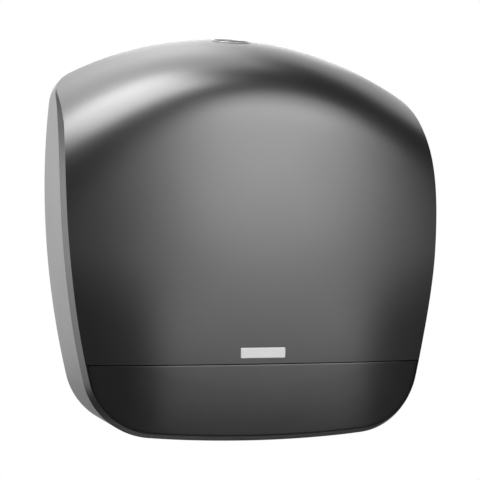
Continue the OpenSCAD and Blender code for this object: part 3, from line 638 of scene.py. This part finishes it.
class Finish:
    """A material with one Principled shader, and a method that adds any node and returns its wire."""

    def __init__(self, name):
        self.material = bpy.data.materials.new(name)
        self.material.use_nodes = True
        self.tree = self.material.node_tree
        self.tree.nodes.clear()
        self.place = self.add("TexCoord", {}, {}, output="Object")

    def add(self, kind, settings, values, output=0):
        """Adds a node: its settings first, then its sockets' values or links."""
        node = self.tree.nodes.new("ShaderNode" + kind)
        for field, value in settings.items():
            if field == "stops":
                for stop, (at, shade) in zip(node.color_ramp.elements, value):
                    stop.position, stop.color = at, (shade, shade, shade, 1)
            else:
                setattr(node, field, value)
        for socket, value in values.items():
            if isinstance(value, Wire):
                self.tree.links.new(value.socket, node.inputs[socket])
            else:
                node.inputs[socket].default_value = value
        return Wire(self, node.outputs[output]) if node.outputs else None

    def noise(self, scale, detail=3, stretch=None):
        """Noise between 0 and 1; scale is the number of features in a metre."""
        where = self.place
        if stretch:
            where = self.add("Mapping", {}, {"Vector": where, "Scale": stretch})
        return self.add("TexNoise", {}, {"Vector": where, "Scale": scale, "Detail": detail})

    def ramp(self, value, low, high):
        """Zero below low, one above high, straight between."""
        return self.add("MapRange", {"clamp": True}, {"Value": value, "From Min": low, "From Max": high})

    def shade(self, value, dark, light):
        """Colour between two, by a value from 0 to 1."""
        return self.add(
            "Mix", {"data_type": "RGBA"}, {0: value, 6: (*dark, 1), 7: (*light, 1)}, output=2)

    def bump(self, height, distance, strength=1.0, normal=None):
        """Normal from a height between 0 and 1 that stands for a distance in metres."""
        links = {"Height": height, "Distance": distance, "Strength": strength}
        if normal:
            links["Normal"] = normal
        return self.add("Bump", {}, links)

    def done(self, **sockets):
        """Adds the Principled shader; a name's underscores stand for spaces."""
        named = {name.replace("_", " "): value for name, value in sockets.items()}
        shader = self.add("BsdfPrincipled", {}, named)
        self.add("OutputMaterial", {}, {"Surface": shader})
        return self.material


def wear(thing, material):
    """Gives an object one material in all its slots."""
    thing.data.materials.clear()
    thing.data.materials.append(material)


# %% [markdown]
# ## Satin plastic
# The cover is moulded in a dark satin plastic. Its tool was spark-eroded, so the surface has a
# very fine grain that blurs reflections, with slow changes in gloss where it was handled. The
# grain is bump from two sizes of noise, and the gloss changes with a third, slower one.

# %% Satin plastic of the cover
def satin_plastic(name, dark, light, rough, grain=0.00002):
    """Moulded plastic: fine grain, cloudy gloss and faint dust."""
    skin = Finish(name)
    clouds = skin.noise(14, detail=4)
    specks = skin.noise(900, detail=2)
    fine = skin.noise(2600, detail=2)
    colour = skin.shade(clouds * 0.7 + specks * 0.3, dark, light)
    normal = skin.bump(fine * 0.6 + specks * 0.4, grain)
    return skin.done(
        Base_Color=colour, Roughness=skin.ramp(clouds, 0.0, 1.0) * 0.06 + (rough - 0.03) + specks * 0.02,
        Normal=normal, IOR=1.7)


satin_black = satin_plastic("satin_black", (0.0045, 0.0047, 0.0052), (0.0075, 0.0078, 0.0084), 0.33)
moulded_grey = satin_plastic("moulded_grey", (0.17, 0.173, 0.178), (0.215, 0.218, 0.222), 0.45, 0.00004)
pale_grey = satin_plastic("pale_grey", (0.46, 0.465, 0.47), (0.53, 0.532, 0.535), 0.42, 0.00003)
lock_grey = satin_plastic("lock_grey", (0.17, 0.172, 0.175), (0.205, 0.207, 0.21), 0.28, 0.00002)


# %% Smoked window
def smoked_plastic():
    """Glossier than the cover, with a slight flow pattern from moulding."""
    skin = Finish("smoked_window")
    flow = skin.noise(38, detail=3, stretch=(1, 1, 0.6))
    slow = skin.noise(9, detail=2)
    colour = skin.shade(flow, (0.0045, 0.0047, 0.0052), (0.008, 0.0083, 0.009))
    normal = skin.bump(flow * 0.8 + slow * 0.2, 0.00012)
    return skin.done(Base_Color=colour, Roughness=flow * 0.07 + 0.265, Normal=normal, IOR=1.7)


smoked_window = smoked_plastic()


# %% Metals
def brushed_steel(name, dark, light, rough, stretch):
    """Drawn or ground metal: fine lines along one direction, from stretched noise."""
    skin = Finish(name)
    lines = skin.noise(900, detail=3, stretch=stretch)
    stain = skin.noise(60, detail=3)
    colour = skin.shade(lines * 0.6 + stain * 0.4, dark, light)
    return skin.done(
        Base_Color=colour, Metallic=1.0, Roughness=lines * 0.12 + stain * 0.08 + (rough - 0.1),
        Normal=skin.bump(lines, 0.000012))


zinc_steel = brushed_steel("zinc_steel", (0.5, 0.51, 0.52), (0.68, 0.69, 0.7), 0.32, (1, 1, 1))
blade_steel = brushed_steel("blade_steel", (0.5, 0.5, 0.51), (0.66, 0.665, 0.67), 0.3, (1, 0.06, 1))


def bare_plate():
    """Thin pale plate: satin aluminium under clear lacquer, with lines along its length."""
    skin = Finish("badge_metal")
    lines = skin.noise(1500, detail=3, stretch=(0.04, 1, 1))
    clouds = skin.noise(120, detail=3)
    colour = skin.shade(lines * 0.5 + clouds * 0.5, (0.51, 0.51, 0.515), (0.58, 0.58, 0.585))
    return skin.done(
        Base_Color=colour, Metallic=0.25, Roughness=lines * 0.1 + 0.38, Normal=skin.bump(lines, 0.00001))


badge_metal = bare_plate()
finishes = {
    "satin_black": satin_black, "smoked_window": smoked_window, "badge_metal": badge_metal,
    "moulded_grey": moulded_grey, "pale_grey": pale_grey, "lock_grey": lock_grey,
    "zinc_steel": zinc_steel, "blade_steel": blade_steel,
}
print("finishes:", sorted(finishes))

# %% Matt seat of the window, darker as painted shade
def matt_seat_painted_shade():
    """The ledge behind the window is rough from the mould, and its colour is darker than the cover's as painted
    shade, so the seam above it stays dark.
    """
    skin = Finish("matt_seat_painted_shade")
    specks = skin.noise(900, detail=2)
    # Base colour below the cover's: painted shade of the deep seam over the ledge
    return skin.done(
        Base_Color=skin.shade(specks, (0.003, 0.003, 0.0035), (0.006, 0.006, 0.0065)),
        Roughness=specks * 0.08 + 0.85, IOR=1.2)


ledge_painted_shade = matt_seat_painted_shade()

# %% Finishes on pieces and nodes
slot_of = {part["node"]: part["material_slot"] for part in frame["record"]["subparts"]}
for node_name, node_object in frame["nodes"].items():
    wear(node_object, finishes[slot_of[node_name]])

new_pieces = {
    "front_cover": ("satin_black", [cover, ledge] + bosses),
    "view_window": ("smoked_window", [window] + posts),
    "badge_plate": ("badge_metal", [badge]),
}
for node_name, (slot_name, pieces) in new_pieces.items():
    for piece in pieces:
        wear(piece, finishes[slot_name])
        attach(piece, "cover")
        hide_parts(node_name)
# The ledge wears the darker seat: painted shade that keeps the seam above the window dark
wear(ledge, ledge_painted_shade)
print("new pieces:", sum(len(pieces) for _, pieces in new_pieces.values()))

# %% [markdown]
# ## Studio
# The object hangs in front of a white backdrop, high over a pale floor. The backdrop shows to
# camera, glossy and transmission rays, and fades downwards for glossy ones. The floor looks
# nearly white to the camera and still takes a shadow. The world is dim for all other rays.
#
# Nine soft boxes light the object, and each is seen as a reflection in one part of the satin:
#
# - strip_top, strip_middle and strip_low stand in front, a little to the right, one above the
#   other, and make the broad upright sheen that fades downwards;
# - overhead_left makes the bright streak on the left shoulder;
# - overhead_back, behind and behind_low light the band along the roof;
# - left_strip and side_fill light the left side wall and its chamfer.
#
# The rest is dark, as in a studio, so the satin falls off to dark edges.

# %% Backdrop, floor and world
def flat_stage(name, corner, along, up):
    """A rectangle from a corner and two sides."""
    corner, along, up = (np.array(v, float) for v in (corner, along, up))
    points = np.array([corner, corner + along, corner + along + up, corner + up])
    mesh = bpy.data.meshes.new(name)
    mesh.from_pydata(points.tolist(), [], [(0, 1, 2, 3)])
    thing = bpy.data.objects.new(name, mesh)
    bpy.context.scene.collection.objects.link(thing)
    return thing


stage_left, stage_front, stage_wide = -14, -2.6, 28
backdrop_y, backdrop_low, backdrop_high, floor_level = 2.5, -1.2, 1.05, -2.8
backdrop = flat_stage(
    "backdrop", (stage_left, backdrop_y, backdrop_low), (stage_wide, 0, 0),
    (0, 0, backdrop_high - backdrop_low))
ground = flat_stage(
    "ground", (stage_left, stage_front, floor_level), (stage_wide, 0, 0),
    (0, backdrop_y - stage_front, 0))

white = Finish("white_backdrop")
seen = white.add("LightPath", {}, {}, output="Is Camera Ray")
mirrored = white.add("LightPath", {}, {}, output="Is Glossy Ray")
through = white.add("LightPath", {}, {}, output="Is Transmission Ray")
height = white.add("SeparateXYZ", {}, {"Vector": white.place}, output="Z")
full_from, low_share = 0.3, 0.5
fall = white.ramp(height, backdrop_low, full_from) * (1 - low_share) + low_share
glow = white.add("Emission", {}, {"Color": (1, 1, 1, 1), "Strength": seen + mirrored * fall + through})
white.add("OutputMaterial", {}, {"Surface": glow})
wear(backdrop, white.material)

pale = Finish("pale_floor")
matt = pale.add("BsdfDiffuse", {}, {
    "Color": pale.shade(pale.noise(3), (0.78, 0.78, 0.77), (0.84, 0.84, 0.83))})
paper_white = pale.add("Emission", {}, {"Color": (1, 1, 1, 1), "Strength": 1.0})
floor_seen = pale.add("LightPath", {}, {}, output="Is Camera Ray")
white_share = 0.9
floor_look = pale.add("MixShader", {}, {0: floor_seen * white_share, 1: matt, 2: paper_white})
pale.add("OutputMaterial", {}, {"Surface": floor_look})
wear(ground, pale.material)

world = bpy.data.worlds.new("studio")
bpy.context.scene.world = world
world.use_nodes = True
links, nodes = world.node_tree.links, world.node_tree.nodes
nodes.clear()
dim = nodes.new("ShaderNodeBackground")
dim.inputs["Color"].default_value = (0.03, 0.03, 0.031, 1)
bright = nodes.new("ShaderNodeBackground")
bright.inputs["Color"].default_value = (1, 1, 1, 1)
path = nodes.new("ShaderNodeLightPath")
either = nodes.new("ShaderNodeMixShader")
out = nodes.new("ShaderNodeOutputWorld")
links.new(path.outputs["Is Camera Ray"], either.inputs[0])
links.new(dim.outputs[0], either.inputs[1])
links.new(bright.outputs[0], either.inputs[2])
links.new(either.outputs[0], out.inputs["Surface"])


# %% Lamps
def soft_box(name, azimuth, elevation, half_wide, half_high, radiance, distance=3.0, aim=(0, -0.06, 0.05)):
    """A rectangular lamp facing the object; its place and half angles are in degrees, seen from there."""
    az, el = math.radians(azimuth), math.radians(elevation)
    towards = Vector((math.sin(az) * math.cos(el), -math.cos(az) * math.cos(el), math.sin(el)))
    lamp = bpy.data.lights.new(name, "AREA")
    lamp.shape = "RECTANGLE"
    lamp.size = 2 * distance * math.tan(math.radians(half_wide))
    lamp.size_y = 2 * distance * math.tan(math.radians(half_high))
    lamp.energy = radiance * math.pi * lamp.size * lamp.size_y
    thing = bpy.data.objects.new(name, lamp)
    thing.location = Vector(aim) + towards * distance
    thing.rotation_euler = towards.to_track_quat("Z", "Y").to_euler()
    thing.visible_camera = False
    bpy.context.scene.collection.objects.link(thing)
    return thing


soft_box("strip_top", 26.8, 35.8, 19.9, 12.3, 4.2)
soft_box("strip_middle", 16.7, 20.2, 16.3, 15.2, 5.5)
soft_box("strip_low", 16.2, -4.2, 20.4, 13.2, 2.05)
soft_box("overhead_left", -77.0, 69.2, 21.0, 17.0, 10.8)
soft_box("overhead_back", -163.0, 59.5, 24.0, 24.0, 2.05)
soft_box("behind", 160.0, 32.0, 33.0, 15.5, 1.1, distance=2.2)
soft_box("behind_low", 166.0, 19.0, 12.0, 8.5, 1.6, distance=2.3)
soft_box("left_strip", -118.0, 8.0, 13.0, 32.0, 1.8)
soft_box("side_fill", -165.0, 9.0, 24.0, 20.0, 0.38, distance=2.3)

# %% [markdown]
# ## Camera
# A long lens, a little to the left and just below the middle, so that the left side wall is a
# thin light strip and the roof is hardly seen.

# %% Camera
camera_azimuth, camera_elevation = math.radians(-14.13), math.radians(-1.95)
camera_distance = 1.24668
camera_target = Vector((0, -0.058, 0.00347))
away = Vector((
    math.sin(camera_azimuth) * math.cos(camera_elevation),
    -math.cos(camera_azimuth) * math.cos(camera_elevation),
    math.sin(camera_elevation)))
lens = bpy.data.cameras.new("camera")
lens.sensor_width = 36
lens.lens = 100.37
lens.shift_x, lens.shift_y = 0.0012, -0.0201
lens.clip_end = 50
camera = bpy.data.objects.new("camera", lens)
camera.location = camera_target + away * camera_distance
camera.rotation_euler = away.to_track_quat("Z", "Y").to_euler()
bpy.context.scene.collection.objects.link(camera)
bpy.context.scene.camera = camera
bpy.context.scene.view_settings.view_transform = "Standard"
